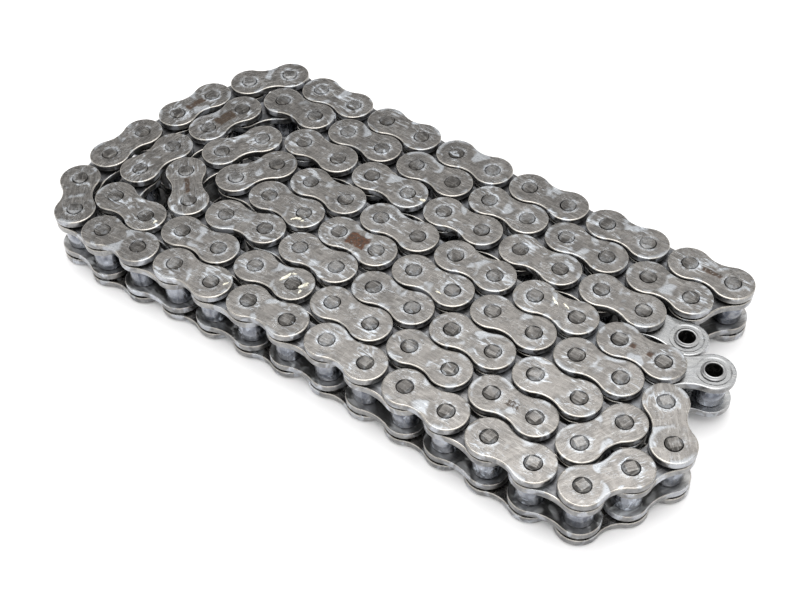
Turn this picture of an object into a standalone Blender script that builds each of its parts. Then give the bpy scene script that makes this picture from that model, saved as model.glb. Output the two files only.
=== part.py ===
"""Sealed roller chain, folded into eight rows and lying on its side on the ends of its pins.

The chain has inner and outer links in turn and ends in an inner link at both ends.
+Z is up and runs along the pins. The rows run along X. The first row of the fold faces -Y.
Both free ends and the front row are made of separate links and rollers. Each other stretch is one
joined solid, whose pins pass with clearance through the bushes of the next stretch.
"""

import math

import bmesh
import bpy
from mathutils import Vector

# Driving dimensions, in metres.
PITCH = 0.015875
INNER_WIDTH = 0.00953
ROLLER_RADIUS = 0.00508
BUSH_RADIUS = 0.0037
PIN_RADIUS = 0.0027
INNER_THICKNESS = 0.0025
OUTER_THICKNESS = 0.0024
SEAL_SPACE = 0.0009
PIN_PROUD = 0.0007
BUSH_PROUD = 0.0005
INNER_LOBE_RADIUS = 0.0072
INNER_WAIST = 0.0057
OUTER_LOBE_RADIUS = 0.00735
OUTER_WAIST = 0.0054
SEAL_RADIUS = 0.0052

# Gaps between neighbouring solids.
TURNING_GAP = 0.0003
PRESSED_GAP = 0.00015

# Heights above the middle plane of the chain.
INNER_FACE = INNER_WIDTH / 2
INNER_BACK = INNER_FACE + INNER_THICKNESS
OUTER_FACE = INNER_BACK + SEAL_SPACE
OUTER_BACK = OUTER_FACE + OUTER_THICKNESS
PIN_END = OUTER_BACK + PIN_PROUD
MIDDLE_HEIGHT = PIN_END

# The fold: where the first joint stands, then how many links run at each heading in degrees.
ROUTE_START = Vector((0.11145, 0.01645))
ROUTE = [
    (1, -149.0), (10, 179.7), (1, -119.0), (11, -0.1),
    (1, -53.0), (1, -112.0), (1, -122.0), (1, -174.0),
    (5, 178.6), (4, -177.0), (2, -175.0), (1, 173.0),
    (1, 129.0), (1, 93.0), (1, 85.0), (1, 77.0), (1, 78.0), (1, 65.0), (1, 50.0),
    (12, -0.3), (1, -121.0), (11, 179.6),
    (1, -127.0), (1, -102.0), (1, -103.0), (1, -95.0), (1, -79.0), (1, -4.0), (1, 7.0),
    (4, 3.5), (6, -0.9), (1, 64.0), (9, 179.7), (2, -171.0),
    (1, 136.0), (1, 77.0), (1, 61.0), (1, 28.0), (9, -0.4), (1, 1.0),
]

# Sides of the turned shapes and points of the plate outlines.
FINE_SIDES = 12
PLAIN_SIDES = 8
COARSE_SIDES = 6
HIDDEN_SIDES = 4
FINE_LOBE_POINTS = 9
COARSE_LOBE_POINTS = 4
FINE_WAIST_POINTS = 3
PLAIN_WAIST_POINTS = 1

# Even links are inner links and odd ones are outer links.
# The front row's first and last link, then each joined stretch's, with the sides of its columns
# and the points of its lobes. The stretches on the outside of the fold have the rounder lobes.
FRONT_LINKS = (26, 38)
JOINED_STRETCHES = {
    "rows_4_and_5_with_left_turn": (2, 21, HIDDEN_SIDES, COARSE_LOBE_POINTS),
    "right_turn": (22, 25, COARSE_SIDES, FINE_LOBE_POINTS),
    "outer_left_turn": (39, 45, COARSE_SIDES, FINE_LOBE_POINTS),
    "row_8": (46, 57, COARSE_SIDES, COARSE_LOBE_POINTS),
    "row_7": (58, 69, HIDDEN_SIDES, COARSE_LOBE_POINTS),
    "second_left_turn": (70, 75, HIDDEN_SIDES, COARSE_LOBE_POINTS),
    "row_2": (76, 85, HIDDEN_SIDES, COARSE_LOBE_POINTS),
    "row_3": (86, 97, HIDDEN_SIDES, COARSE_LOBE_POINTS),
    "third_left_turn_and_row_6": (98, 110, HIDDEN_SIDES, COARSE_LOBE_POINTS),
}

PLATE_STEEL = ((0.34, 0.33, 0.32), 0.38)
END_PLATE_STEEL = ((0.46, 0.47, 0.49), 0.32)
PIN_STEEL = ((0.20, 0.19, 0.19), 0.42)
BUSH_STEEL = ((0.55, 0.55, 0.56), 0.25)
ROLLER_STEEL = ((0.36, 0.38, 0.42), 0.28)


def clear_scene():
    for old in list(bpy.data.objects):
        bpy.data.objects.remove(old, do_unlink=True)


def new_material(name, base_color, roughness, metallic):
    material = bpy.data.materials.new(name)
    material.use_nodes = True
    shader = material.node_tree.nodes["Principled BSDF"]
    shader.inputs["Base Color"].default_value = (*base_color, 1.0)
    shader.inputs["Roughness"].default_value = roughness
    shader.inputs["Metallic"].default_value = metallic
    return material


def steel(name, finish):
    base_color, roughness = finish
    return new_material(name, base_color, roughness, 1.0)


def route_joints():
    """The centre of every joint of the chain, a pitch apart, in the XY plane."""
    joints = [ROUTE_START.copy()]
    for count, heading in ROUTE:
        angle = math.radians(heading)
        for _ in range(count):
            joints.append(joints[-1] + PITCH * Vector((math.cos(angle), math.sin(angle))))
    return joints


def heading_of(start, end):
    return math.atan2(end.y - start.y, end.x - start.x)


def arc(centre_x, centre_y, radius, start, end, count):
    """Points along an arc, both ends included."""
    points = []
    for index in range(count):
        angle = start + (end - start) * index / (count - 1)
        points.append((centre_x + radius * math.cos(angle), centre_y + radius * math.sin(angle)))
    return points


def plate_outline(lobe_radius, waist, lobe_points, waist_points):
    """A link plate from above, counter-clockwise: two round lobes and a hollow waist on each side."""
    half = PITCH / 2
    hollow_radius = (half**2 + waist**2 - lobe_radius**2) / (2 * (lobe_radius - waist))
    hollow_y = waist + hollow_radius
    join = math.atan2(hollow_y, half)
    hollow_points = waist_points + 2
    outline = arc(0, 0, lobe_radius, join, 2 * math.pi - join, lobe_points)
    outline += arc(half, -hollow_y, hollow_radius, math.pi - join, join, hollow_points)[1:-1]
    outline += arc(PITCH, 0, lobe_radius, join - math.pi, math.pi - join, lobe_points)
    outline += arc(half, hollow_y, hollow_radius, -join, join - math.pi, hollow_points)[1:-1]
    return outline


def circle(centre_x, radius, sides):
    step = 2 * math.pi / sides
    angles = [step * (index + 0.5) for index in range(sides)]
    return [(centre_x + radius * math.cos(angle), radius * math.sin(angle)) for angle in angles]


def clear_radius(radius, gap, sides):
    """The radius of a bore's corners when its flats clear a round piece by the gap."""
    return (radius + gap) / math.cos(math.pi / sides)


def placed(outline, origin, heading):
    """The outline turned to a heading and moved to an origin in the XY plane."""
    cosine, sine = math.cos(heading), math.sin(heading)
    return [(origin.x + cosine * x - sine * y, origin.y + sine * x + cosine * y) for x, y in outline]


def add_prism(shape, outline, bottom, top, holes=()):
    """A closed upright prism, with an upright hole for each outline in holes."""
    edges = []
    for loop in (outline, *holes):
        corners = [shape.verts.new((x, y, bottom)) for x, y in loop]
        for index, corner in enumerate(corners):
            edges.append(shape.edges.new((corners[index - 1], corner)))
    filled = bmesh.ops.triangle_fill(shape, edges=edges, use_beauty=True, normal=(0, 0, 1))
    faces = [item for item in filled["geom"] if isinstance(item, bmesh.types.BMFace)]
    raised = bmesh.ops.extrude_face_region(shape, geom=faces, use_keep_orig=True)
    corners = [item for item in raised["geom"] if isinstance(item, bmesh.types.BMVert)]
    bmesh.ops.translate(shape, verts=corners, vec=(0, 0, top - bottom))


def add_turned(shape, centre, profile, sides, tube=False):
    """A turned solid: (radius, height) steps from the bottom up, or round a tube's wall."""
    rings = []
    for radius, height in profile:
        points = placed(circle(0, radius, sides), centre, 0)
        rings.append([shape.verts.new((x, y, height)) for x, y in points])
    pairs = list(zip(rings, rings[1:]))
    if tube:
        pairs.append((rings[-1], rings[0]))
    else:
        shape.faces.new(rings[0])
        shape.faces.new(rings[-1])
    for lower, upper in pairs:
        for index in range(sides):
            shape.faces.new((lower[index - 1], lower[index], upper[index], upper[index - 1]))


def finished_mesh(name, shape):
    bmesh.ops.recalc_face_normals(shape, faces=shape.faces)
    mesh = bpy.data.meshes.new(name)
    shape.to_mesh(mesh)
    shape.free()
    return mesh


def combined_mesh(name, start, steps):
    """Joins or cuts closed meshes one after another. Each step is an operation and its mesh."""
    base = bpy.data.objects.new(name, start)
    bpy.context.scene.collection.objects.link(base)
    helpers = []
    for operation, mesh in steps:
        helper = bpy.data.objects.new(f"{name}_{operation.lower()}", mesh)
        bpy.context.scene.collection.objects.link(helper)
        helpers.append(helper)
        modifier = base.modifiers.new(operation.lower(), "BOOLEAN")
        modifier.operation = operation
        modifier.object = helper
        modifier.solver = "EXACT"
    graph = bpy.context.evaluated_depsgraph_get()
    result = bpy.data.meshes.new_from_object(base.evaluated_get(graph))
    for item in (base, *helpers):
        bpy.data.objects.remove(item, do_unlink=True)
    return result


def new_piece(name, mesh, material, parent=None, position=(0, 0, 0), turn=0.0):
    """A named object. Pieces with the same mesh and material share one mesh."""
    if not mesh.materials:
        mesh.materials.append(material)
        mesh.shade_smooth()
        mesh.set_sharp_from_angle(angle=math.radians(35))
    piece = bpy.data.objects.new(name, mesh)
    bpy.context.scene.collection.objects.link(piece)
    piece.parent = parent
    piece.location = position
    piece.rotation_euler.z = turn
    return piece


def new_pivot(name, joint, heading):
    """An empty on a joint's axis, in the middle plane, with its X axis along the link."""
    pivot = bpy.data.objects.new(name, None)
    bpy.context.scene.collection.objects.link(pivot)
    pivot.location = (joint.x, joint.y, MIDDLE_HEIGHT)
    pivot.rotation_euler.z = heading
    return pivot


def bored_plate(name, outline, hole_radius, face, back):
    shape = bmesh.new()
    holes = [circle(x, hole_radius, FINE_SIDES) for x in (0, PITCH)]
    add_prism(shape, outline, face, back, holes)
    return finished_mesh(name, shape)


def turned_piece(name, profile, sides, tube):
    shape = bmesh.new()
    add_turned(shape, Vector((0, 0)), profile, sides, tube)
    return finished_mesh(name, shape)


def tube_profile(inner, outer, bottom, top):
    return [(outer, bottom), (outer, top), (inner, top), (inner, bottom)]


def end_meshes():
    """One mesh for each kind of piece in a free end."""
    inner = plate_outline(INNER_LOBE_RADIUS, INNER_WAIST, FINE_LOBE_POINTS, FINE_WAIST_POINTS)
    outer = plate_outline(OUTER_LOBE_RADIUS, OUTER_WAIST, FINE_LOBE_POINTS, FINE_WAIST_POINTS)
    bush_hole = BUSH_RADIUS + PRESSED_GAP
    pin_hole = PIN_RADIUS + PRESSED_GAP
    bore = clear_radius(PIN_RADIUS, PRESSED_GAP, FINE_SIDES)
    bush_end = INNER_BACK + BUSH_PROUD
    roller_end = INNER_FACE - PRESSED_GAP
    roller_bore = clear_radius(BUSH_RADIUS, PRESSED_GAP, FINE_SIDES)
    seal = tube_profile(roller_bore, SEAL_RADIUS, INNER_BACK + PRESSED_GAP, OUTER_FACE - PRESSED_GAP)
    low_seal = [(radius, -height) for radius, height in seal]
    bush = tube_profile(bore, BUSH_RADIUS, -bush_end, bush_end)
    roller = tube_profile(roller_bore, ROLLER_RADIUS, -roller_end, roller_end)
    pin = [(PIN_RADIUS, -PIN_END), (PIN_RADIUS, PIN_END)]
    return {
        "inner_plate_upper": bored_plate("inner_plate_upper", inner, bush_hole, INNER_FACE, INNER_BACK),
        "inner_plate_lower": bored_plate("inner_plate_lower", inner, bush_hole, -INNER_BACK, -INNER_FACE),
        "outer_plate_upper": bored_plate("outer_plate_upper", outer, pin_hole, OUTER_FACE, OUTER_BACK),
        "outer_plate_lower": bored_plate("outer_plate_lower", outer, pin_hole, -OUTER_BACK, -OUTER_FACE),
        "bush": turned_piece("bush", bush, FINE_SIDES, True),
        "roller": turned_piece("roller", roller, FINE_SIDES, True),
        "seal_upper": turned_piece("seal_upper", seal, FINE_SIDES, True),
        "seal_lower": turned_piece("seal_lower", low_seal, FINE_SIDES, True),
        "pin": turned_piece("pin", pin, FINE_SIDES, False),
    }


def build_end(name, free_joint, hinge_joint, next_joint, meshes, steels):
    """A free inner link, which swings about its hinge pin, and the outer link that carries that pin."""
    swing = new_pivot(f"{name}_swing", hinge_joint, heading_of(hinge_joint, free_joint))
    fixed = new_pivot(f"{name}_fixed", hinge_joint, heading_of(hinge_joint, next_joint))
    for side in ("upper", "lower"):
        new_piece(f"{name}_inner_plate_{side}", meshes[f"inner_plate_{side}"], steels["end_plate"], swing)
        new_piece(f"{name}_outer_plate_{side}", meshes[f"outer_plate_{side}"], steels["plate"], fixed)
        new_piece(f"{name}_seal_{side}", meshes[f"seal_{side}"], steels["seal"], fixed)
    for place, offset in (("hinge", 0.0), ("free", PITCH)):
        new_piece(f"{name}_bush_{place}", meshes["bush"], steels["bush"], swing, (offset, 0, 0))
        new_piece(f"{name}_roller_{place}", meshes["roller"], steels["roller"], swing, (offset, 0, 0))
    for place, offset in (("hinge", 0.0), ("inner", PITCH)):
        new_piece(f"{name}_pin_{place}", meshes["pin"], steels["pin"], fixed, (offset, 0, 0))


def two_plates(outline, origin, heading, face, back, shape):
    around = placed(outline, origin, heading)
    add_prism(shape, around, face, back)
    add_prism(shape, around, -back, -face)


def outer_link_mesh():
    """Two outer plates and the two pins riveted in them, as one solid."""
    origin = Vector((0, 0))
    outline = plate_outline(OUTER_LOBE_RADIUS, OUTER_WAIST, FINE_LOBE_POINTS, PLAIN_WAIST_POINTS)
    plates = bmesh.new()
    two_plates(outline, origin, 0, OUTER_FACE, OUTER_BACK, plates)
    pins = bmesh.new()
    for offset in (0, PITCH):
        pin = [(PIN_RADIUS, -PIN_END), (PIN_RADIUS, PIN_END)]
        add_turned(pins, Vector((offset, 0)), pin, PLAIN_SIDES)
    steps = [("UNION", finished_mesh("front_pins", pins))]
    return combined_mesh("front_outer_link", finished_mesh("front_outer_plates", plates), steps)


def inner_link_mesh():
    """Two inner plates and the two bushes pressed in them, as one solid. The bushes end flush."""
    origin = Vector((0, 0))
    outline = plate_outline(INNER_LOBE_RADIUS, INNER_WAIST, FINE_LOBE_POINTS, PLAIN_WAIST_POINTS)
    plates = bmesh.new()
    two_plates(outline, origin, 0, INNER_FACE, INNER_BACK, plates)
    bushes = bmesh.new()
    bores = bmesh.new()
    plate_middle = (INNER_FACE + INNER_BACK) / 2
    for offset in (0, PITCH):
        centre = Vector((offset, 0))
        bush = [(BUSH_RADIUS, -plate_middle), (BUSH_RADIUS, plate_middle)]
        add_turned(bushes, centre, bush, PLAIN_SIDES)
        bore = clear_radius(PIN_RADIUS, PRESSED_GAP, PLAIN_SIDES)
        add_turned(bores, centre, [(bore, -PIN_END), (bore, PIN_END)], PLAIN_SIDES)
    steps = [("UNION", finished_mesh("front_bushes", bushes))]
    steps.append(("DIFFERENCE", finished_mesh("front_bores", bores)))
    return combined_mesh("front_inner_link", finished_mesh("front_inner_plates", plates), steps)


def build_front_row(joints, steels):
    """The front row: separate inner links, outer links and rollers."""
    outer_link = outer_link_mesh()
    inner_link = inner_link_mesh()
    roller_end = INNER_FACE - TURNING_GAP
    roller_bore = clear_radius(BUSH_RADIUS, PRESSED_GAP, PLAIN_SIDES)
    ring = tube_profile(roller_bore, ROLLER_RADIUS, -roller_end, roller_end)
    roller = turned_piece("front_roller", ring, PLAIN_SIDES, True)
    first, last = FRONT_LINKS
    rollers = 0
    for link in range(first, last + 1):
        start, end = joints[link], joints[link + 1]
        number = (link - first) // 2 + 1
        place = (start.x, start.y, MIDDLE_HEIGHT)
        turn = heading_of(start, end)
        if link % 2 == 1:
            new_piece(f"front_outer_link_{number}", outer_link, steels["plate"], None, place, turn)
            continue
        new_piece(f"front_inner_link_{number}", inner_link, steels["inner"], None, place, turn)
        for joint in (start, end):
            rollers += 1
            place = (joint.x, joint.y, MIDDLE_HEIGHT)
            new_piece(f"front_roller_{rollers}", roller, steels["roller"], None, place, turn)


def column_profile(at_edge, outer_link):
    """A joint of a joined stretch: a bare pin or an empty bush at its edges, a roller elsewhere."""
    if at_edge and outer_link:
        return [(PIN_RADIUS, -PIN_END), (PIN_RADIUS, PIN_END)]
    end = (INNER_FACE + INNER_BACK) / 2 if at_edge else (OUTER_FACE + OUTER_BACK) / 2
    return [(ROLLER_RADIUS, -end), (ROLLER_RADIUS, end)]


def build_stretch(name, joints, stretch, material):
    """Several links as one solid. Where an outer link covers an inner plate, seals fill the space."""
    first, last, sides, lobe_points = stretch
    outer = plate_outline(OUTER_LOBE_RADIUS, OUTER_WAIST, lobe_points, PLAIN_WAIST_POINTS)
    inner = plate_outline(INNER_LOBE_RADIUS, INNER_WAIST, lobe_points, PLAIN_WAIST_POINTS)
    outer_plates = bmesh.new()
    inner_plates = bmesh.new()
    columns = bmesh.new()
    bores = bmesh.new()
    origin = joints[first]
    for link in range(first, last + 1):
        start = joints[link] - origin
        heading = heading_of(joints[link], joints[link + 1])
        if link % 2 == 1:
            two_plates(outer, start, heading, OUTER_FACE, OUTER_BACK, outer_plates)
        else:
            back = INNER_BACK if link in (first, last) else OUTER_FACE
            two_plates(inner, start, heading, INNER_FACE, back, inner_plates)
    for joint in range(first, last + 2):
        centre = joints[joint] - origin
        at_edge = joint in (first, last + 1)
        outer_link = (first if joint == first else last) % 2 == 1
        add_turned(columns, centre, column_profile(at_edge, outer_link), sides)
        if at_edge and not outer_link:
            bore = clear_radius(PIN_RADIUS, TURNING_GAP, sides)
            add_turned(bores, centre, [(bore, -PIN_END), (bore, PIN_END)], sides)
    steps = [("UNION", finished_mesh(f"{name}_inner_plates", inner_plates))]
    steps.append(("UNION", finished_mesh(f"{name}_columns", columns)))
    if bores.verts:
        steps.append(("DIFFERENCE", finished_mesh(f"{name}_bores", bores)))
    mesh = combined_mesh(name, finished_mesh(f"{name}_outer_plates", outer_plates), steps)
    new_piece(name, mesh, material, None, (origin.x, origin.y, MIDDLE_HEIGHT))


def main():
    clear_scene()
    steels = {
        "plate": steel("outer_plate_steel", PLATE_STEEL),
        "inner": steel("inner_plate_steel", PLATE_STEEL),
        "end_plate": steel("end_plate_steel", END_PLATE_STEEL),
        "pin": steel("pin_steel", PIN_STEEL),
        "bush": steel("bush_steel", BUSH_STEEL),
        "roller": steel("roller_steel", ROLLER_STEEL),
        "seal": new_material("seal_rubber", (0.02, 0.02, 0.02), 0.6, 0.0),
    }
    joints = route_joints()
    meshes = end_meshes()
    build_end("first_end", joints[0], joints[1], joints[2], meshes, steels)
    build_end("last_end", joints[-1], joints[-2], joints[-3], meshes, steels)
    build_front_row(joints, steels)
    for name, stretch in JOINED_STRETCHES.items():
        build_stretch(name, joints, stretch, steel(f"{name}_steel", PLATE_STEEL))


main()
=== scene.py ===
"""The looks of the folded roller chain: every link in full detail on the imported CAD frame."""

import math
import random

import bpy
from mathutils import Matrix, Vector
from mathutils.geometry import tessellate_polygon


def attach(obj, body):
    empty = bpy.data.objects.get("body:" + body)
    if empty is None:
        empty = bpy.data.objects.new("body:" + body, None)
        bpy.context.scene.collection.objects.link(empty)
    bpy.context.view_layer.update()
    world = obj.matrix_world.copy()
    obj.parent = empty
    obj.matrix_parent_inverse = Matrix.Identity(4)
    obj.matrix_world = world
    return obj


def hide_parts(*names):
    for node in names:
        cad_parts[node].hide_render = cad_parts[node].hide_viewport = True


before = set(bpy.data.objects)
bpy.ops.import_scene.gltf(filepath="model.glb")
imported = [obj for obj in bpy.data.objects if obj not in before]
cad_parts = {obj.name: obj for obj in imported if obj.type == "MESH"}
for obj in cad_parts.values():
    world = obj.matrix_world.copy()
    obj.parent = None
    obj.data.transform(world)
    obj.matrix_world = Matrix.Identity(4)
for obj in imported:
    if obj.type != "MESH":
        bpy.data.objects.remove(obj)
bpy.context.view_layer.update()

# The chain's sizes, in metres. They are the sizes of the CAD model.
PITCH = 0.015875
INNER_WIDTH = 0.00953
INNER_THICKNESS = 0.0025
OUTER_THICKNESS = 0.0024
SEAL_SPACE = 0.0009
PIN_PROUD = 0.0007
INNER_LOBE_RADIUS = 0.0072
INNER_WAIST = 0.0057
OUTER_LOBE_RADIUS = 0.00735
OUTER_WAIST = 0.0054
ROLLER_RADIUS = 0.00508
BUSH_RADIUS = 0.0037
BUSH_BORE = 0.00278
BUSH_CLEARANCE = 0.0001
FLARE_RADIUS = 0.00405
PIN_HEAD = 0.00264
PIN_HOLE = 0.00288
SEAL_RADIUS = 0.00455
SEAL_HALF_WIDTH = 0.0006
SEAL_HALF_HEIGHT = 0.00036

# Smaller details, in metres. STAKE_TURN is in degrees. Chance picks a pin end's turn, shift, half side
# and drop within their limits.
HOLE_CHAMFER = 0.0001
STAKE_TURN = 14
STAKE_SHIFT = 0.0001
STAKE_HALF_SIDES = (0.00160, 0.00175)
STAKE_DROPS = (0.00066, 0.00084)
STAKE_BEVEL = 0.00006
STAKE_DEPTH = 0.0002
PLATEAU_REACH = 0.0024
BUSH_RISE = 0.0005
BUSH_ROUNDING = 0.0004
FREE_BUSH_RISE = 0.0008
FREE_BUSH_INSET = 0.0002
FLARE_STEP = 0.00035
FLARE_CHAMFER = 0.0001
FLARE_LIFT = 0.00005
ROLLER_CLEARANCE = 0.00015
ROLLER_ROUNDING = (0.0004, 0.0004)

INNER_FACE = INNER_WIDTH / 2
INNER_BACK = INNER_FACE + INNER_THICKNESS
OUTER_FACE = INNER_BACK + SEAL_SPACE
OUTER_BACK = OUTER_FACE + OUTER_THICKNESS
PIN_END = OUTER_BACK + PIN_PROUD
# The chain rests on its lower pin ends.
MIDDLE_HEIGHT = PIN_END

# The fold, as in the CAD model: the first joint, then how many links run at each heading.
ROUTE_START = Vector((0.11145, 0.01645))
ROUTE = [
    (1, -149.0), (10, 179.7), (1, -119.0), (11, -0.1),
    (1, -53.0), (1, -112.0), (1, -122.0), (1, -174.0),
    (5, 178.6), (4, -177.0), (2, -175.0), (1, 173.0),
    (1, 129.0), (1, 93.0), (1, 85.0), (1, 77.0), (1, 78.0), (1, 65.0), (1, 50.0),
    (12, -0.3), (1, -121.0), (11, 179.6),
    (1, -127.0), (1, -102.0), (1, -103.0), (1, -95.0), (1, -79.0), (1, -4.0), (1, 7.0),
    (4, 3.5), (6, -0.9), (1, 64.0), (9, 179.7), (2, -171.0),
    (1, 136.0), (1, 77.0), (1, 61.0), (1, 28.0), (9, -0.4), (1, 1.0),
]
FRONT_LINKS = (26, 38)
JOINED_STRETCHES = {
    "rows_4_and_5_with_left_turn": (2, 21),
    "right_turn": (22, 25),
    "outer_left_turn": (39, 45),
    "row_8": (46, 57),
    "row_7": (58, 69),
    "second_left_turn": (70, 75),
    "row_2": (76, 85),
    "row_3": (86, 97),
    "third_left_turn_and_row_6": (98, 110),
}
CHAIN_BODY = "folded_chain"
# Rust between the pins of some outer links: how far the patch reaches along the link and across it,
# how whole it is, and how brown rather than grey.
RUSTY_LINKS = {
    15: (0.0040, 0.0030, 1.0, 1.0),
    43: (0.0042, 0.0015, 0.95, 0.45),
    71: (0.0043, 0.0024, 1.0, 0.35),
    99: (0.0042, 0.0011, 0.85, 0.5),
    57: (0.0038, 0.0010, 0.9, 0.45),
    85: (0.0024, 0.0016, 0.6, 0.3),
}
# The first end's outer link has two small rusty spots instead, this far from its pins.
SPOTTED_LINK = 1
SPOT_DISTANCE = 0.0049

# Lumps of old grease on the upper outer plates: the nearest joint, how far from it along X and Y the
# lump lies, its length and width, and which way it runs in degrees.
GREASE_LUMPS = [
    (14, (0.0003, -0.0034), (0.0026, 0.0012), 20.0),
    (14, (-0.0012, -0.0046), (0.0016, 0.0008), 50.0),
    (14, (0.0022, -0.0034), (0.0012, 0.0007), 60.0),
    (80, (-0.0038, 0.0008), (0.0044, 0.0014), 75.0),
    (80, (-0.0024, 0.0036), (0.0016, 0.0008), 20.0),
    (80, (0.0036, 0.0013), (0.0040, 0.0013), 60.0),
    (80, (0.0042, -0.0016), (0.0018, 0.0008), 85.0),
    (106, (0.0066, 0.0001), (0.0026, 0.0010), 10.0),
    (4, (0.0066, 0.0018), (0.0042, 0.0008), 150.0),
    (3, (-0.0052, 0.0021), (0.0030, 0.0007), 155.0),
    (35, (0.0048, 0.0020), (0.0022, 0.0008), 60.0),
    (18, (-0.0033, -0.0035), (0.0020, 0.0007), 0.0),
    (76, (0.0050, -0.0004), (0.0022, 0.0008), 95.0),
]
# A lump's rings as shares of its reach, its height as a share of its width, how far its outline and
# its height waver, and the waves of its outline.
LUMP_SHARES = (1.0, 0.9, 0.7, 0.45, 0.2)
LUMP_HEIGHT = 0.4
LUMP_SWELLS = (0.06, 0.20)
LUMP_TILT = 0.25
LUMP_WAVES = (2, 3, 5)

LINK_SEED = 7
GREASE_SEED = 31

# Fineness of the meshes.
LOBE_POINTS = 34
WAIST_POINTS = 12
ROUND_POINTS = 48
EDGE_STEPS = 4
TOP_STEPS = 8
SEAL_STEPS = 8
SEAL_POINTS = 32
LUMP_POINTS = 28

# Material numbers on a link: a plate's face, rounded edge and side wall, then the bush or pin head that it
# holds, the seals, the rollers and the lower inner plate's face. On inner links the upper plate's face
# carries painted shade and the lower plate's face painted light; on all plates the rounded edge carries
# wear and a painted highlight, and the side wall grease and painted light.
FACE, RIM, WALL, HELD, SEALING, ROLLING, LOWER_FACE = range(7)
# A pin's pressed sides have a darker material of their own, on outer links only: painted shade on the
# sloped sides.
PRESSED = 4
# How far a piece's noise is moved by chance, in metres.
DRIFT_REACH = 5


# ---------------------------------------------------------------- mesh building

class Shape:
    """Collects closed surfaces, with a material number and a shading for each face."""

    def __init__(self):
        self.points = []
        self.faces = []
        self.numbers = []
        self.smooth = []

    def ring(self, points):
        first = len(self.points)
        self.points.extend(points)
        return list(range(first, len(self.points)))

    def face(self, corners, number, smooth):
        self.faces.append(tuple(corners))
        self.numbers.append(number)
        self.smooth.append(smooth)

    def bridge(self, lower, upper, number, smooth=True):
        """Faces between two rings that run counter-clockwise, seen from the upper ring's side."""
        for index in range(len(lower)):
            corners = (lower[index - 1], lower[index], upper[index], upper[index - 1])
            self.face(corners, number, smooth)

    def cap(self, rings, number, upward):
        """A flat face with an outer ring first and then any holes."""
        corners = [[Vector(self.points[i]) for i in ring] for ring in rings]
        order = [i for ring in rings for i in ring]
        for triangle in tessellate_polygon(corners):
            a, b, c = (order[i] for i in triangle)
            first, second = Vector(self.points[b]), Vector(self.points[c])
            base = Vector(self.points[a])
            up = (first - base).cross(second - base).z > 0
            self.face((a, b, c) if up == upward else (a, c, b), number, False)

    def mesh(self, name, materials, heading, draw):
        """The mesh turned to a heading. It keeps the unturned places, and the same moved by chance."""
        turn = Matrix.Rotation(heading, 3, "Z")
        mesh = bpy.data.meshes.new(name)
        mesh.from_pydata([tuple(turn @ Vector(point)) for point in self.points], [], self.faces)
        drift = Vector([draw.uniform(0, DRIFT_REACH) for _ in range(3)])
        moved = [Vector(point) + drift for point in self.points]
        for title, places in (("place", self.points), ("drift", moved)):
            layer = mesh.attributes.new(title, "FLOAT_VECTOR", "POINT")
            layer.data.foreach_set("vector", [value for point in places for value in point])
        tone = draw.uniform(-1, 1)
        layer = mesh.attributes.new("tone", "FLOAT", "POINT")
        layer.data.foreach_set("value", [tone] * len(self.points))
        for material in materials:
            mesh.materials.append(material)
        mesh.polygons.foreach_set("material_index", self.numbers)
        mesh.polygons.foreach_set("use_smooth", self.smooth)
        mesh.validate()
        mesh.update()
        return mesh


def arc(centre, radius, start, end, count):
    points = []
    for index in range(count):
        angle = start + (end - start) * index / (count - 1)
        x = centre[0] + radius * math.cos(angle)
        points.append((x, centre[1] + radius * math.sin(angle)))
    return points


def plate_outline(lobe_radius, waist, inset):
    """The plate's outline, counter-clockwise, moved inwards by an inset."""
    half = PITCH / 2
    hollow_radius = (half**2 + waist**2 - lobe_radius**2) / (2 * (lobe_radius - waist))
    hollow_y = waist + hollow_radius
    join = math.atan2(hollow_y, half)
    lobe = lobe_radius - inset
    hollow = hollow_radius + inset
    count = WAIST_POINTS + 2
    outline = arc((0, 0), lobe, join, 2 * math.pi - join, LOBE_POINTS)
    outline += arc((half, -hollow_y), hollow, math.pi - join, join, count)[1:-1]
    outline += arc((PITCH, 0), lobe, join - math.pi, math.pi - join, LOBE_POINTS)
    outline += arc((half, hollow_y), hollow, -join, join - math.pi, count)[1:-1]
    return outline


def circle(centre_x, radius, count=ROUND_POINTS):
    step = 2 * math.pi / count
    angles = [step * index for index in range(count)]
    return [(centre_x + radius * math.cos(a), radius * math.sin(a)) for a in angles]


def raised(outline, height):
    return [(x, y, height) for x, y in outline]


def rounded_edge(rounding, height, downward):
    """(inset, height) steps round an edge of some width and depth, from a piece's side to its face."""
    width, depth = rounding
    steps = []
    for index in range(EDGE_STEPS + 1):
        angle = math.pi / 2 * index / EDGE_STEPS
        inset = width * (1 - math.cos(angle))
        rise = depth * (1 - math.sin(angle))
        steps.append((inset, height + rise if downward else height - rise))
    return steps


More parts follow.
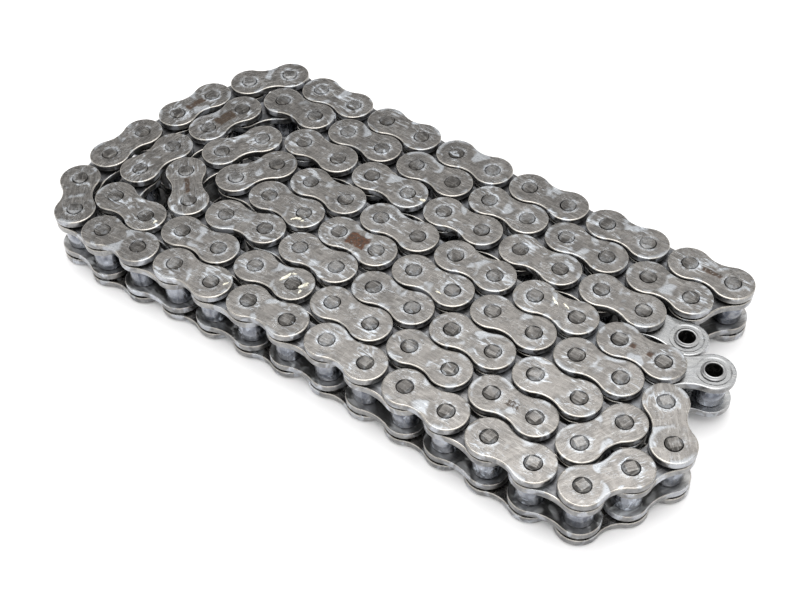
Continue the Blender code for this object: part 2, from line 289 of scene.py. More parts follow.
def add_plate(shape, sizes, bottom, top, hole, roundings, seat=None, face=FACE):
    """A bored link plate with rounded edges. A seat is a shallow round recess about each bore."""
    lobe_radius, waist = sizes
    low_rounding, high_rounding = roundings
    steps = list(reversed(rounded_edge(low_rounding, bottom, True)))
    steps += rounded_edge(high_rounding, top, False)
    rings = [shape.ring(raised(plate_outline(lobe_radius, waist, d), z)) for d, z in steps]
    for index, (lower, upper) in enumerate(zip(rings, rings[1:])):
        shape.bridge(lower, upper, WALL if index == EDGE_STEPS else RIM)
    lows, highs = [rings[0]], [rings[-1]]
    for centre_x in (0, PITCH):
        low = shape.ring(raised(circle(centre_x, hole + HOLE_CHAMFER), bottom))
        wall_low = shape.ring(raised(circle(centre_x, hole), bottom + HOLE_CHAMFER))
        lows.append(low)
        if seat:
            seat_radius, depth = seat
            floor = top - depth
            rim = shape.ring(raised(circle(centre_x, seat_radius), top))
            edge = shape.ring(raised(circle(centre_x, seat_radius - 2 * depth), floor))
            high = shape.ring(raised(circle(centre_x, hole + HOLE_CHAMFER), floor))
            wall_high = shape.ring(raised(circle(centre_x, hole), floor - HOLE_CHAMFER))
            shape.bridge(rim, edge, face, False)
            shape.bridge(edge, high, face, False)
            highs.append(rim)
        else:
            high = shape.ring(raised(circle(centre_x, hole + HOLE_CHAMFER), top))
            wall_high = shape.ring(raised(circle(centre_x, hole), top - HOLE_CHAMFER))
            highs.append(high)
        shape.bridge(wall_low, low, WALL, False)
        shape.bridge(wall_high, wall_low, WALL)
        shape.bridge(high, wall_high, WALL, False)
    shape.cap(lows, face, False)
    shape.cap(highs, face, True)


def add_tube(shape, centre_x, profile, number, bore, count=ROUND_POINTS):
    """A turned tube from (radius, height) steps round its wall. The last step to the first is its bore."""
    rings = [shape.ring(raised(circle(centre_x, radius, count), z)) for radius, z in profile]
    for lower, upper in zip(rings, rings[1:]):
        shape.bridge(lower, upper, number)
    shape.bridge(rings[-1], rings[0], bore)


def staked_ring(centre_x, turn, shift, reach_at, height_at):
    """Points round a pin's axis at even angles from a turned square's first side."""
    points = []
    for index in range(ROUND_POINTS):
        angle = 2 * math.pi * index / ROUND_POINTS
        squareness = max(abs(math.cos(angle)), abs(math.sin(angle)))
        reach = reach_at(squareness)
        x = centre_x + shift[0] + reach * math.cos(angle + turn)
        points.append((x, shift[1] + reach * math.sin(angle + turn), height_at(squareness)))
    return points


def add_pin(shape, centre_x, number, side_number, draw):
    """A pin whose two ends are staked: four flat pressed sides that leave a square plateau."""
    rings = []
    for side in (-1, 1):
        turn = math.radians(draw.uniform(-STAKE_TURN, STAKE_TURN))
        shift = [draw.uniform(-STAKE_SHIFT, STAKE_SHIFT) for _ in range(2)]
        half_side = draw.uniform(*STAKE_HALF_SIDES)
        drop = draw.uniform(*STAKE_DROPS)
        slope = drop / (PIN_HEAD - half_side)

        def pressed(squareness, radius, lowered=0.0):
            return side * (PIN_END - lowered - slope * max(0.0, radius * squareness - half_side))

        bevelled = PIN_HEAD - STAKE_BEVEL
        steps = [
            (lambda _: PIN_HEAD, lambda _: side * (OUTER_FACE - STAKE_DEPTH)),
            (lambda _: PIN_HEAD, lambda q: pressed(q, PIN_HEAD, STAKE_BEVEL)),
            (lambda _: bevelled, lambda q: pressed(q, bevelled)),
            (lambda q: min(half_side / q, PLATEAU_REACH), lambda q: side * PIN_END),
        ]
        rings.append([shape.ring(staked_ring(centre_x, turn, shift, *step)) for step in steps])
    lower, upper = rings
    chain = list(reversed(lower)) + upper
    for index, (below, above) in enumerate(zip(chain, chain[1:])):
        shape.bridge(below, above, side_number, index not in (0, len(chain) - 2))
    shape.cap([lower[-1]], number, False)
    shape.cap([upper[-1]], number, True)


def rounded_top(inner, outer, end, rounding):
    """Steps over a ring's rounded end face, from its outer side to its bore."""
    middle, half_wall = (inner + outer) / 2, (outer - inner) / 2
    profile = []
    for index in range(TOP_STEPS + 1):
        angle = math.pi * index / TOP_STEPS
        lift = rounding * math.sin(angle) ** 0.7
        profile.append((middle + half_wall * math.cos(angle), end - rounding + lift))
    return profile


def add_bush(shape, centre_x, number, bore, flared=False):
    """A bush. Its rims stand proud of the inner plates, and a free one's end is flared in a low step."""
    if flared:
        step_top = INNER_BACK + FLARE_STEP
        half = [(BUSH_RADIUS, INNER_BACK), (FLARE_RADIUS, INNER_BACK + FLARE_LIFT)]
        half += [(FLARE_RADIUS, step_top - FLARE_CHAMFER), (FLARE_RADIUS - FLARE_CHAMFER, step_top)]
        end, rounding = INNER_BACK + FREE_BUSH_RISE, FREE_BUSH_RISE - FLARE_STEP
        half += rounded_top(BUSH_BORE, BUSH_RADIUS - FREE_BUSH_INSET, end, rounding)
    else:
        half = rounded_top(BUSH_BORE, BUSH_RADIUS, INNER_BACK + BUSH_RISE, BUSH_ROUNDING)
    mirrored = [(radius, -z) for radius, z in reversed(half)]
    add_tube(shape, centre_x, mirrored + half, number, bore)


def add_roller(shape, centre_x, number):
    end = INNER_FACE - ROLLER_CLEARANCE
    upper = [(ROLLER_RADIUS - inset, z) for inset, z in rounded_edge(ROLLER_ROUNDING, end, False)]
    upper.append((BUSH_RADIUS + ROLLER_CLEARANCE, end))
    lower = [(radius, -z) for radius, z in reversed(upper)]
    add_tube(shape, centre_x, lower + upper, number, number)


def add_seal(shape, centre_x, number, side):
    """A ring seal of rounded section in the space between an inner and an outer plate."""
    middle_height = side * (INNER_BACK + OUTER_FACE) / 2
    section = []
    for index in range(SEAL_STEPS):
        angle = 2 * math.pi * index / SEAL_STEPS
        radius = SEAL_RADIUS + SEAL_HALF_WIDTH * math.cos(angle)
        section.append((radius, middle_height + SEAL_HALF_HEIGHT * math.sin(angle)))
    add_tube(shape, centre_x, section, number, number, SEAL_POINTS)


# ---------------------------------------------------------------- materials

# Where grease starts and where it is full, as distances from the nearer pin's axis in metres: the thicker
# smears near a pin, the collar about it, and the edging towards the plate's edge, which is grease and also
# a painted soft highlight along the edge.
NEAR_PIN = (0.0068, 0.0034)
COLLAR = (0.0044, 0.0032)
EDGE_GREASE_AND_HIGHLIGHT = (0.0054, 0.0068)
# In metres: how far the outlines of a rust patch and of a spot waver, and where they fade out.
RUST_WAVER = 0.0030
RUST_OUTSIDE, RUST_INSIDE = 0.0003, 0.0006
SPOT_WAVER = 0.0008
SPOT_EDGE = (0.0014, 0.0006)
SPOT_REACH = (0.0060, 0.0052)
SPOT_BROWNNESS = 0.6
WIPED_COLOR = (0.47, 0.465, 0.45)
SCRATCH_COLOR = (0.50, 0.48, 0.455)
DARK_RUST = (0.024, 0.013, 0.007)


class Nodes:
    """Adds shader nodes to one material in a short form."""

    def __init__(self, name):
        self.material = bpy.data.materials.new(name)
        self.material.use_nodes = True
        self.tree = self.material.node_tree
        self.shader = self.tree.nodes["Principled BSDF"]

    def link(self, source, target):
        self.tree.links.new(source, target)

    def add(self, kind, **settings):
        node = self.tree.nodes.new(kind)
        for name, value in settings.items():
            setattr(node, name, value)
        return node

    def put(self, node, name, value):
        """Sets an input to a number, or links another node's output to it."""
        socket = node.inputs[name]
        if isinstance(value, bpy.types.NodeSocket):
            self.link(value, socket)
        else:
            socket.default_value = value

    def math(self, operation, first, second=0.0, third=None):
        node = self.add("ShaderNodeMath", operation=operation)
        self.put(node, 0, first)
        self.put(node, 1, second)
        if third is not None:
            self.put(node, 2, third)
        return node.outputs[0]

    def ramp(self, value, low, high, start=0.0, end=1.0):
        """A smooth change from start to end as a value goes from low to high."""
        node = self.add("ShaderNodeMapRange", interpolation_type="SMOOTHSTEP")
        self.put(node, "Value", value)
        self.put(node, "From Min", low)
        self.put(node, "From Max", high)
        self.put(node, "To Min", start)
        self.put(node, "To Max", end)
        return node.outputs["Result"]

    def mix(self, share, first, second):
        node = self.add("ShaderNodeMix", data_type="RGBA")
        self.put(node, 0, share)
        for index, value in ((6, first), (7, second)):
            if isinstance(value, tuple):
                value = (*value, 1.0)
            self.put(node, index, value)
        return node.outputs[2]

    def noise(self, vector, scale, detail=3.0, distortion=0.0, roughness=0.55):
        node = self.add("ShaderNodeTexNoise")
        self.link(vector, node.inputs["Vector"])
        node.inputs["Scale"].default_value = scale
        node.inputs["Detail"].default_value = detail
        node.inputs["Distortion"].default_value = distortion
        node.inputs["Roughness"].default_value = roughness
        return node.outputs["Fac"]

    def places(self):
        """A point's place on its link, the same moved by chance on each link, and a tone for each link."""
        found = []
        for title in ("place", "drift", "tone"):
            node = self.add("ShaderNodeAttribute", attribute_type="GEOMETRY", attribute_name=title)
            found.append(node.outputs["Fac" if title == "tone" else "Vector"])
        return found

    def stretched(self, vector, scale, turn):
        node = self.add("ShaderNodeMapping")
        self.link(vector, node.inputs["Vector"])
        node.inputs["Scale"].default_value = scale
        node.inputs["Rotation"].default_value = (0, 0, math.radians(turn))
        return node.outputs["Vector"]

    def bump(self, height, strength, distance, normal=None):
        node = self.add("ShaderNodeBump")
        self.link(height, node.inputs["Height"])
        node.inputs["Strength"].default_value = strength
        node.inputs["Distance"].default_value = distance
        if normal is not None:
            self.link(normal, node.inputs["Normal"])
        return node.outputs["Normal"]


def pin_distance(make, place):
    """How far a point is from the nearer pin's axis, in metres."""
    distances = []
    for centre_x in (0.0, PITCH):
        offset = make.add("ShaderNodeVectorMath", operation="SUBTRACT")
        make.link(place, offset.inputs[0])
        offset.inputs[1].default_value = (centre_x, 0.0, 0.0)
        flat = make.add("ShaderNodeVectorMath", operation="MULTIPLY")
        make.link(offset.outputs[0], flat.inputs[0])
        flat.inputs[1].default_value = (1.0, 1.0, 0.0)
        length = make.add("ShaderNodeVectorMath", operation="LENGTH")
        make.link(flat.outputs[0], length.inputs[0])
        distances.append(length.outputs["Value"])
    return make.math("MINIMUM", *distances)


def rust_patch(make, place, drift, size):
    """A broken rusty patch on the plate between the pins."""
    reach_along, reach_across, wholeness, _ = size
    parts = make.add("ShaderNodeSeparateXYZ")
    make.link(place, parts.inputs[0])
    waver = make.math("MULTIPLY_ADD", make.noise(drift, 520.0, 4.0, 0.4), RUST_WAVER, -RUST_WAVER / 2)
    along = make.math("ADD", make.math("SUBTRACT", parts.outputs["X"], PITCH / 2), waver)
    across = make.math("ADD", parts.outputs["Y"], make.math("MULTIPLY", waver, -0.7))
    patch = make.ramp(make.noise(drift, 900.0, 4.0, 0.6), 0.58 - 0.30 * wholeness, 0.70 - 0.28 * wholeness)
    for distance, reach in ((along, reach_along), (across, reach_across)):
        away = make.math("ABSOLUTE", distance)
        inside = make.ramp(away, reach + RUST_OUTSIDE, reach - RUST_INSIDE)
        patch = make.math("MULTIPLY", patch, inside)
    return patch


def rust_spots(make, place, drift):
    """Two small spots on the link's middle line, one near each pin."""
    parts = make.add("ShaderNodeSeparateXYZ")
    make.link(place, parts.inputs[0])
    waver = make.math("MULTIPLY_ADD", make.noise(drift, 900.0, 2.0), SPOT_WAVER, -SPOT_WAVER / 2)
    off_circle = make.math("ADD", make.math("SUBTRACT", pin_distance(make, place), SPOT_DISTANCE), waver)
    near = make.ramp(make.math("ABSOLUTE", off_circle), *SPOT_EDGE)
    middle = make.ramp(make.math("ABSOLUTE", parts.outputs["Y"]), *SPOT_EDGE)
    from_centre = make.math("SUBTRACT", parts.outputs["X"], PITCH / 2)
    inward = make.ramp(make.math("ABSOLUTE", from_centre), *SPOT_REACH)
    return make.math("MULTIPLY", make.math("MULTIPLY", near, middle), inward)


def grease_and_highlight_cover(make, place, drift, tone, grease):
    """How far thin grease covers the steel: smears, wisps, collars about the pins and edgings towards the
    plate's edge. The edgings also paint a soft highlight along the edge.
    """
    from_pin = pin_distance(make, place)
    near = make.ramp(from_pin, *NEAR_PIN)
    smear = make.noise(make.stretched(drift, (0.8, 2.6, 1.0), 25.0), 190.0, 2.0, 1.8, 0.45)
    spread = make.noise(drift, 110.0, 1.0, 0.6)
    film = make.math("MULTIPLY_ADD", spread, 0.45, make.math("MULTIPLY", smear, 0.75))
    film = make.math("MULTIPLY_ADD", near, 0.06, film)
    film = make.math("MULTIPLY_ADD", tone, 0.025, film)
    film = make.ramp(film, 0.82 - 0.18 * grease, 0.96 - 0.18 * grease)

    wisp_noise = make.noise(make.stretched(drift, (1.0, 2.0, 1.0), 40.0), 210.0, 1.5, 2.6, 0.5)
    wisp = make.ramp(make.math("ABSOLUTE", make.math("SUBTRACT", wisp_noise, 0.5)), 0.022, 0.004)
    where = make.ramp(make.noise(drift, 150.0, 1.0, 0.5), 0.50, 0.60)
    where = make.math("MULTIPLY_ADD", where, 0.75, make.math("MULTIPLY", near, 0.3))
    wisp = make.math("MULTIPLY", make.math("MULTIPLY", wisp, where), min(1.0, 1.5 * grease))

    side_noise = make.noise(drift, 170.0, 1.0, 0.5)
    crumbs = make.ramp(make.noise(drift, 1300.0, 2.0, 0.3), 0.44, 0.54)
    collar = make.math("MULTIPLY", make.ramp(from_pin, *COLLAR), make.ramp(side_noise, 0.47, 0.57))
    collar = make.math("MULTIPLY", collar, make.math("MULTIPLY_ADD", crumbs, 0.75, 0.35))
    # Painted soft highlight: a band of pale film along the plate's edge, partly grease.
    edge_grease_and_highlight = make.math("MULTIPLY", make.ramp(from_pin, *EDGE_GREASE_AND_HIGHLIGHT), make.ramp(side_noise, 0.47, 0.36))
    pooled_grease_and_highlight = make.math("MULTIPLY", make.math("MAXIMUM", collar, edge_grease_and_highlight), min(1.0, 1.3 * grease))

    cover = make.math("MULTIPLY_ADD", film, 0.62, make.math("MULTIPLY", wisp, 0.34))
    return make.math("MINIMUM", make.math("MULTIPLY_ADD", pooled_grease_and_highlight, 0.6, cover), 0.94)


def steel(name, light, dark, roughness, grease, film_color=(0.53, 0.57, 0.62), rust=None):
    """Bare steel with a brushed grain, scratches, a patchy tone and smears of thin grease, with a painted
    soft highlight in the grease along the plate's edge.

    Rust is the size of a patch, or "spots", or nothing.
    """
    make = Nodes(name)
    place, drift, tone = make.places()
    patch = make.noise(drift, 170.0, 2.0, 1.2, 0.5)
    mottle = make.noise(drift, 900.0, 2.0, 0.4)
    grain = make.noise(drift, 4200.0, 2.0)
    brushed = make.noise(make.stretched(drift, (170.0, 1500.0, 170.0), 28.0), 1.0, 3.0)
    long_scratch = make.noise(make.stretched(drift, (150.0, 2600.0, 180.0), 34.0), 1.0, 1.5)
    cross_scratch = make.noise(make.stretched(drift, (3000.0, 220.0, 220.0), 12.0), 1.0, 1.5)
    long_scratch, cross_scratch = make.ramp(long_scratch, 0.60, 0.70), make.ramp(cross_scratch, 0.63, 0.73)
    scratch = make.math("MAXIMUM", long_scratch, cross_scratch)
    level = make.math("MULTIPLY_ADD", patch, 0.95, make.math("MULTIPLY", mottle, 0.08))
    level = make.math("ADD", level, make.math("MULTIPLY", brushed, 0.38))
    level = make.math("ADD", level, make.math("MULTIPLY", tone, 0.05))
    color = make.mix(make.ramp(level, 0.48, 0.94), dark, light)
    wiped = make.noise(make.stretched(drift, (0.5, 3.0, 1.0), -38.0), 300.0, 3.0, 1.4)
    color = make.mix(make.ramp(wiped, 0.50, 0.76, 0.0, 0.36), color, WIPED_COLOR)
    color = make.mix(make.math("MULTIPLY", scratch, 0.16), color, SCRATCH_COLOR)
    cover = grease_and_highlight_cover(make, place, drift, tone, grease)
    color = make.mix(cover, color, film_color)
    if rust:
        spots = rust == "spots"
        stain = rust_spots(make, place, drift) if spots else rust_patch(make, place, drift, rust)
        brown = SPOT_BROWNNESS if spots else rust[3]
        old_rust = (0.030 + 0.046 * brown, 0.033 - 0.010 * brown, 0.024 - 0.020 * brown)
        rusty = make.mix(make.ramp(make.noise(drift, 1500.0), 0.35, 0.65), DARK_RUST, old_rust)
        color = make.mix(make.math("MULTIPLY", stain, 0.96), color, rusty)
        cover = make.math("MAXIMUM", cover, stain)
    make.link(color, make.shader.inputs["Base Color"])
    make.link(make.math("MULTIPLY_ADD", cover, -0.7, 1.0), make.shader.inputs["Metallic"])
    rough = make.math("MULTIPLY_ADD", mottle, 0.16, roughness - 0.08)
    rough = make.math("MULTIPLY_ADD", brushed, 0.14, make.math("SUBTRACT", rough, 0.07))
    rough = make.math("MULTIPLY_ADD", scratch, 0.08, rough)
    make.link(rough, make.shader.inputs["Roughness"])
    normal = None
    for height, strength, distance in (
        (grain, 0.12, 0.00003),
        (mottle, 0.06, 0.00012),
        (brushed, 0.08, 0.00010),
        (patch, 0.12, 0.00040),
        (scratch, 0.12, 0.00005),
        (cover, 0.20, 0.00016),
    ):
        normal = make.bump(height, strength, distance, normal)
    make.link(normal, make.shader.inputs["Normal"])
    return make.material


def rubber(name):
    make = Nodes(name)
    _, drift, _ = make.places()
    fine = make.noise(drift, 2600.0, 3.0)
    make.link(make.mix(fine, (0.012, 0.012, 0.012), (0.04, 0.038, 0.035)), make.shader.inputs["Base Color"])
    make.link(make.ramp(fine, 0.3, 0.7, 0.35, 0.6), make.shader.inputs["Roughness"])
    make.link(make.bump(fine, 0.3, 0.00005), make.shader.inputs["Normal"])
    return make.material


def grease_material(name):
    make = Nodes(name)
    _, drift, _ = make.places()
    cloud = make.noise(drift, 700.0, 4.0, 0.5)
    color = make.mix(make.ramp(cloud, 0.35, 0.65), (0.50, 0.48, 0.40), (0.80, 0.78, 0.67))
    make.link(color, make.shader.inputs["Base Color"])
    make.link(make.ramp(cloud, 0.3, 0.7, 0.22, 0.42), make.shader.inputs["Roughness"])
    make.shader.inputs["Subsurface Weight"].default_value = 0.25
    make.shader.inputs["Subsurface Radius"].default_value = (0.001, 0.0009, 0.0007)
    make.link(make.bump(cloud, 0.4, 0.0002), make.shader.inputs["Normal"])
    return make.material


PLATE_TONES = ((0.250, 0.238, 0.227), (0.158, 0.151, 0.145), 0.28, 0.6)
PLATE = steel("plate_steel", *PLATE_TONES)
# The rounded edges get a lighter, warmer steel than the faces: partly edge wear, partly a painted highlight
# along the rims.
RIM_WEAR_AND_HIGHLIGHT_STEEL = steel("plate_rim_steel_worn_and_painted_highlight", (0.36, 0.342, 0.318), (0.22, 0.21, 0.196), 0.25, 0.5)
# The side walls get lighter steel and more pale film than the faces: partly grease, partly painted light on
# walls that the studio light hardly reaches.
LIT_WALL_TONES = ((0.30, 0.297, 0.29), (0.14, 0.14, 0.145), 0.32, 0.8, (0.44, 0.46, 0.50))
LIT_WALL_STEEL = steel("plate_wall_steel_painted_light", *LIT_WALL_TONES)
# The upper inner plate's face gets a darker steel: painted shade where it shows between the outer plates.
SHADED_INNER_TONES = ((0.15, 0.15, 0.158), (0.075, 0.077, 0.082), 0.34, 0.5, (0.30, 0.32, 0.35))
SHADED_INNER = steel("inner_plate_steel", *SHADED_INNER_TONES)
# The lower inner plate's face gets a lighter steel: painted light, so that the rollers above it show a
# brighter reflection.
LIT_LOWER_TONES = ((0.34, 0.335, 0.33), (0.17, 0.17, 0.172), 0.34, 0.9, (0.46, 0.47, 0.48))
LIT_LOWER_INNER = steel("lower_inner_steel_painted_light", *LIT_LOWER_TONES)
PALE = steel("end_plate_steel", (0.37, 0.375, 0.38), (0.315, 0.32, 0.327), 0.27, 0.08)
PIN = steel("pin_steel", (0.225, 0.216, 0.208), (0.095, 0.090, 0.086), 0.25, 0.15)
# The pressed sides of a pin end get a darker, rougher steel than its plateau: painted shade on the sloped
# sides.
SHADED_PIN_SIDE = steel("pin_side_steel_painted_shade", (0.100, 0.095, 0.090), (0.050, 0.047, 0.044), 0.36, 0.25)
BUSH = steel("bush_steel", (0.36, 0.36, 0.36), (0.22, 0.22, 0.225), 0.34, 0.2)
# The bore of an end link's bush is nearly black: painted shade inside the hole.
SHADED_BORE = steel("bore_steel_painted_shade", (0.03, 0.028, 0.026), (0.012, 0.011, 0.010), 0.5, 0.0, (0.03, 0.03, 0.03))
ROLLER = steel("roller_steel", (0.32, 0.335, 0.37), (0.085, 0.093, 0.115), 0.15, 0.7, (0.53, 0.58, 0.66))
SEAL = rubber("seal_rubber")
GREASE = grease_material("grease")
RUSTY = {}
for rusty_link, rust_size in RUSTY_LINKS.items():
    RUSTY[rusty_link] = steel(f"plate_steel_rusty_{rusty_link}", *PLATE_TONES, rust=rust_size)
RUSTY[SPOTTED_LINK] = steel("plate_steel_spotted", *PLATE_TONES, rust="spots")


# ---------------------------------------------------------------- pieces

OUTER_SIZES = (OUTER_LOBE_RADIUS, OUTER_WAIST)
INNER_SIZES = (INNER_LOBE_RADIUS, INNER_WAIST)
BUSH_HOLE = BUSH_RADIUS + BUSH_CLEARANCE
# The width and depth of the rounding on the lower and upper edges of an upper plate. A lower plate has
# them swapped.
OUTER_ROUNDINGS = ((0.0003, 0.0003), (0.00045, 0.00028))
INNER_ROUNDINGS = ((0.0003, 0.0003), (0.00045, 0.00030))
# The radius and depth of the round seat about a free end's bushes.
SEAT = (0.0058, 0.00022)


def add_outer_plate(shape, side):
    low, high = (OUTER_FACE, OUTER_BACK) if side > 0 else (-OUTER_BACK, -OUTER_FACE)
    add_plate(shape, OUTER_SIZES, low, high, PIN_HOLE, OUTER_ROUNDINGS[::side])


def add_inner_plate(shape, side, seat=None, face=FACE):
    low, high = (INNER_FACE, INNER_BACK) if side > 0 else (-INNER_BACK, -INNER_FACE)
    add_plate(shape, INNER_SIZES, low, high, BUSH_HOLE, INNER_ROUNDINGS[::side], seat, face)


def outer_link(draw):
    shape = Shape()
    for side in (-1, 1):
        add_outer_plate(shape, side)
    for centre_x in (0, PITCH):
        add_pin(shape, centre_x, HELD, PRESSED, draw)
    return shape


def inner_link(with_rollers):
    shape = Shape()
    # The lower inner plate's face takes the lighter steel with painted light.
    add_inner_plate(shape, -1, face=LOWER_FACE)
    add_inner_plate(shape, 1)
    for centre_x in (0, PITCH):
        add_bush(shape, centre_x, HELD, HELD)
        for side in (-1, 1):
            add_seal(shape, centre_x, SEALING, side)
        if with_rollers:
            add_roller(shape, centre_x, ROLLING)
    return shape


def single(builder, **values):
    """A shape of one part, made by one of the add functions."""
    shape = Shape()
    builder(shape, **values)
    return shape


def new_piece(name, shape, materials, body, joint, heading, nodes, draw):
    """A piece with its origin on a joint's axis, standing for some CAD nodes."""
    piece = bpy.data.objects.new(name, shape.mesh(name, materials, heading, draw))
    bpy.context.scene.collection.objects.link(piece)
    piece.location = (joint.x, joint.y, MIDDLE_HEIGHT)
    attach(piece, body)
    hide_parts(*nodes)


def route_joints():
    joints = [ROUTE_START.copy()]
    for count, heading in ROUTE:
        angle = math.radians(heading)
        for _ in range(count):
            joints.append(joints[-1] + PITCH * Vector((math.cos(angle), math.sin(angle))))
    return joints


def heading_of(start, end):
    return math.atan2(end.y - start.y, end.x - start.x)


def build_links(joints):
    """Every link but the two at each end."""
    draw = random.Random(LINK_SEED)
    outer_materials = [PLATE, RIM_WEAR_AND_HIGHLIGHT_STEEL, LIT_WALL_STEEL, PIN, SHADED_PIN_SIDE]
    inner_materials = [SHADED_INNER, RIM_WEAR_AND_HIGHLIGHT_STEEL, LIT_WALL_STEEL, BUSH, SEAL, ROLLER, LIT_LOWER_INNER]
    first_front, last_front = FRONT_LINKS
    stretches = {}
    for name, (first, last) in JOINED_STRETCHES.items():
        for link in range(first, last + 1):
            stretches[link] = name
    bare, full = inner_link(False), inner_link(True)
    roller = single(add_roller, centre_x=0.0, number=0)
    front_rollers = 0
    for link in range(2, len(joints) - 3):
        start = joints[link]
        heading = heading_of(start, joints[link + 1])
        in_front = first_front <= link <= last_front
        number = (link - first_front) // 2 + 1
        kind = "outer" if link % 2 == 1 else "inner"
        node = f"front_{kind}_link_{number}" if in_front else stretches[link]
        if kind == "outer":
            shape, materials = outer_link(draw), [RUSTY.get(link, PLATE), *outer_materials[1:]]
        else:
            shape, materials = bare if in_front else full, inner_materials
        name = f"{kind}_link_{link}"
        new_piece(name, shape, materials, CHAIN_BODY, start, heading, [node], draw)
        if in_front and kind == "inner":
            for joint in (joints[link], joints[link + 1]):
                front_rollers += 1
                node = f"front_roller_{front_rollers}"
                turn = draw.uniform(0, math.pi)
                new_piece(f"{node}_detail", roller, [ROLLER], node, joint, turn, [node], draw)


def add_lump(shape, size, draw):
    """A low lump with an uneven outline, round its own origin, with its flat side on z = 0."""
    length, width = size
    waves = []
    for count in LUMP_WAVES:
        waves.append((count, draw.uniform(*LUMP_SWELLS), draw.uniform(0, 2 * math.pi)))
    height = LUMP_HEIGHT * width
    rings = []
    for share in LUMP_SHARES:
        ring = []
        for index in range(LUMP_POINTS):
            angle = 2 * math.pi * index / LUMP_POINTS
            uneven = sum(swell * math.sin(count * angle + start) for count, swell, start in waves)
            reach = share * (1 + uneven)
            tilt = LUMP_TILT * math.sin(3 * angle + waves[0][2])
            z = height * math.sqrt(1 - share**2) * (1 + tilt)
            ring.append((reach * length / 2 * math.cos(angle), reach * width / 2 * math.sin(angle), z))
        rings.append(shape.ring(ring))
    for lower, upper in zip(rings, rings[1:]):
        shape.bridge(lower, upper, 0)
    shape.cap([rings[0]], 0, False)
    shape.cap([rings[-1]], 0, True)


def build_grease(joints):
    """The lumps of grease. They stand for no CAD node, and ride on the folded chain."""
    draw = random.Random(GREASE_SEED)
    for number, (joint, offset, size, run) in enumerate(GREASE_LUMPS, 1):
        shape = single(add_lump, size=size, draw=draw)
        mesh = shape.mesh(f"grease_lump_{number}", [GREASE], math.radians(run), draw)
        lump = bpy.data.objects.new(f"grease_lump_{number}", mesh)
        bpy.context.scene.collection.objects.link(lump)
        place = joints[joint] + Vector(offset)
        lump.location = (place.x, place.y, MIDDLE_HEIGHT + OUTER_BACK)
        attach(lump, CHAIN_BODY)


def build_end(end, free, hinge, inner, top_material):
    """A free inner link with its bushes and rollers, and the outer link that holds its hinge pin."""
    draw = random.Random(end)
    swing = heading_of(hinge, free)
    fixed = heading_of(hinge, inner)
    link_body = f"{end}_link"
    for place, side in (("upper", 1), ("lower", -1)):
        node = f"{end}_inner_plate_{place}"
        shape = single(add_inner_plate, side=side, seat=SEAT if side > 0 else None)
        materials = [PALE, PALE, LIT_WALL_STEEL]
        new_piece(f"{node}_detail", shape, materials, link_body, hinge, swing, [node], draw)
        node = f"{end}_outer_plate_{place}"
        shape = single(add_outer_plate, side=side)
        materials = [top_material if side > 0 else PLATE, RIM_WEAR_AND_HIGHLIGHT_STEEL, LIT_WALL_STEEL]
        new_piece(f"{node}_detail", shape, materials, CHAIN_BODY, hinge, fixed, [node], draw)
        node = f"{end}_seal_{place}"
        shape = single(add_seal, centre_x=0.0, number=0, side=side)
        new_piece(f"{node}_detail", shape, [SEAL], CHAIN_BODY, hinge, fixed, [node], draw)
    for place, joint in (("hinge", hinge), ("free", free)):
        node = f"{end}_bush_{place}"
        shape = single(add_bush, centre_x=0.0, number=0, bore=1, flared=place == "free")
        # The end bushes' bores get the nearly black steel: painted shade inside the hole.
        new_piece(f"{node}_detail", shape, [BUSH, SHADED_BORE], link_body, joint, swing, [node], draw)
        node = f"{end}_roller_{place}"
        shape = single(add_roller, centre_x=0.0, number=0)
        new_piece(f"{node}_detail", shape, [ROLLER], node, joint, swing, [node], draw)
    for place, joint in (("hinge", hinge), ("inner", inner)):
        node = f"{end}_pin_{place}"
        shape = single(add_pin, centre_x=0.0, number=0, side_number=1, draw=draw)
        new_piece(f"{node}_detail", shape, [PIN, SHADED_PIN_SIDE], CHAIN_BODY, joint, fixed, [node], draw)


# ---------------------------------------------------------------- stage

# The studio's light: how bright each part of it is, and the way to the camera and to its right.
TENT_DIM = 0.22
TOP_LIGHT = 2.5
SIDE_LIGHT = 1.1
LOW_LIGHT = 1.3
FILL_LIGHT = 0.6
TO_CAMERA = (0.62, -0.785)
TO_RIGHT = (0.785, 0.62)
# From where to where each part of the light rises. TOP_LEAN spreads the light overhead along TO_CAMERA.
TOP_LEAN = 0.25
TOP_RISE = (0.84, 1.00)
SIDE_RISE = (0.40, 0.85)
SIDE_HEIGHTS = (0.05, 0.45)
LOW_HEIGHTS = (0.53, 0.34)
FILL_RISE = (0.05, 0.45)
FILL_HEIGHTS = (0.35, 0.55)
TENT_COLOR = (1.0, 0.995, 0.985, 1.0)
FLOOR_REACH = 3.0
FLOOR_COLOR = (0.79, 0.79, 0.80, 1.0)
SOFTBOX_PLACE = (-0.20, 0.30, 1.50)
SOFTBOX_SIZE = (0.9, 0.7)
SOFTBOX_WATTS = 7.0
SOFTBOX_COLOR = (1.0, 0.985, 0.96)

# The camera: its azimuth, elevation and roll in degrees, its distance, what it looks at, and its lens.
CAMERA_ANGLES = (38.28, 47.90, -2.28)
CAMERA_DISTANCE = 0.42506
CAMERA_TARGET = (0.01555, -0.01895)
LENS_LENGTH = 58.52
SENSOR_WIDTH = 36.0
NEAREST_SEEN = 0.01


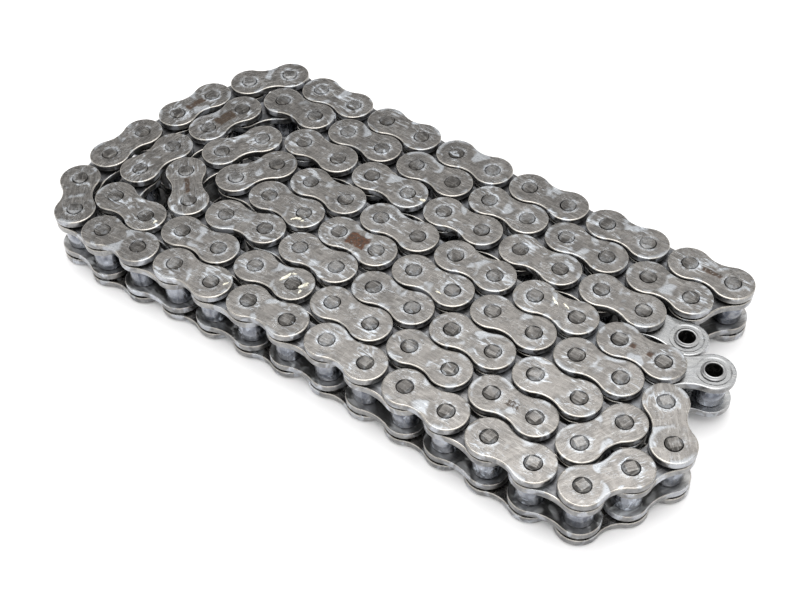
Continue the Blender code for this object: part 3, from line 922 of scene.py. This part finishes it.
def build_floor():
    mesh = bpy.data.meshes.new("floor")
    corners = [(x * FLOOR_REACH, y * FLOOR_REACH, 0) for x, y in ((-1, -1), (1, -1), (1, 1), (-1, 1))]
    mesh.from_pydata(corners, [], [(0, 1, 2, 3)])
    floor = bpy.data.objects.new("floor", mesh)
    bpy.context.scene.collection.objects.link(floor)
    make = Nodes("floor_white")
    make.shader.inputs["Base Color"].default_value = FLOOR_COLOR
    make.shader.inputs["Roughness"].default_value = 0.6
    make.shader.inputs["Specular IOR Level"].default_value = 0.2
    mesh.materials.append(make.material)


def build_softbox():
    """A warm white panel above, turned to the chain."""
    data = bpy.data.lights.new("overhead_softbox", "AREA")
    data.shape = "RECTANGLE"
    data.size, data.size_y = SOFTBOX_SIZE
    data.energy = SOFTBOX_WATTS
    data.color = SOFTBOX_COLOR
    light = bpy.data.objects.new("overhead_softbox", data)
    bpy.context.scene.collection.objects.link(light)
    light.location = SOFTBOX_PLACE
    aim = -Vector(SOFTBOX_PLACE)
    light.rotation_euler = aim.to_track_quat("-Z", "Y").to_euler()


def build_world():
    """A studio tent: bright overhead, at the left and right and low, with some light from the front."""
    world = bpy.data.worlds.new("studio")
    bpy.context.scene.world = world
    world.use_nodes = True
    tree = world.node_tree
    background = tree.nodes["Background"]
    direction = tree.nodes.new("ShaderNodeTexCoord").outputs["Generated"]

    def math_node(operation, *values):
        node = tree.nodes.new("ShaderNodeMath")
        node.operation = operation
        for socket, value in zip(node.inputs, values):
            if isinstance(value, bpy.types.NodeSocket):
                tree.links.new(value, socket)
            else:
                socket.default_value = value
        return node.outputs[0]

    def along(vector):
        node = tree.nodes.new("ShaderNodeVectorMath")
        node.operation = "DOT_PRODUCT"
        tree.links.new(direction, node.inputs[0])
        node.inputs[1].default_value = vector
        return node.outputs["Value"]

    def rise(value, low, high):
        node = tree.nodes.new("ShaderNodeMapRange")
        node.interpolation_type = "LINEAR"
        tree.links.new(value, node.inputs["Value"])
        node.inputs["From Min"].default_value = low
        node.inputs["From Max"].default_value = high
        return node.outputs["Result"]

    height = along((0.0, 0.0, 1.0))
    nearness = along((*TO_CAMERA, 0.0))
    sideways = math_node("ABSOLUTE", along((*TO_RIGHT, 0.0)))
    top = rise(math_node("MULTIPLY_ADD", math_node("ABSOLUTE", nearness), TOP_LEAN, height), *TOP_RISE)
    side = math_node("MULTIPLY", rise(sideways, *SIDE_RISE), rise(height, *SIDE_HEIGHTS))
    low = rise(height, *LOW_HEIGHTS)
    fill = math_node("MULTIPLY", rise(nearness, *FILL_RISE), rise(height, *FILL_HEIGHTS))
    level = TENT_DIM
    for part, light in ((top, TOP_LIGHT), (side, SIDE_LIGHT), (low, LOW_LIGHT), (fill, FILL_LIGHT)):
        level = math_node("MULTIPLY_ADD", part, light, level)
    tree.links.new(level, background.inputs["Strength"])
    background.inputs["Color"].default_value = TENT_COLOR


def build_camera():
    """The view from above the front right, rolled a little, aimed at a point near the middle."""
    azimuth, elevation, roll = (math.radians(value) for value in CAMERA_ANGLES)
    target = Vector((*CAMERA_TARGET, 2 * MIDDLE_HEIGHT))
    back = Vector((
        math.sin(azimuth) * math.cos(elevation),
        -math.cos(azimuth) * math.cos(elevation),
        math.sin(elevation),
    ))
    right = Vector((math.cos(azimuth), math.sin(azimuth), 0))
    up = back.cross(right)
    turned_right = math.cos(roll) * right + math.sin(roll) * up
    turned_up = back.cross(turned_right)
    data = bpy.data.cameras.new("camera")
    data.sensor_width = SENSOR_WIDTH
    data.lens = LENS_LENGTH
    data.clip_start = NEAREST_SEEN
    camera = bpy.data.objects.new("camera", data)
    bpy.context.scene.collection.objects.link(camera)
    place = Matrix((turned_right, turned_up, back)).transposed().to_4x4()
    place.translation = target + CAMERA_DISTANCE * back
    camera.matrix_world = place
    bpy.context.scene.camera = camera


def main():
    bpy.context.scene.view_settings.view_transform = "Standard"
    build_camera()
    joints = route_joints()
    build_links(joints)
    build_end("first_end", joints[0], joints[1], joints[2], RUSTY[SPOTTED_LINK])
    build_end("last_end", joints[-1], joints[-2], joints[-3], PLATE)
    build_grease(joints)
    build_floor()
    build_world()
    build_softbox()


main()
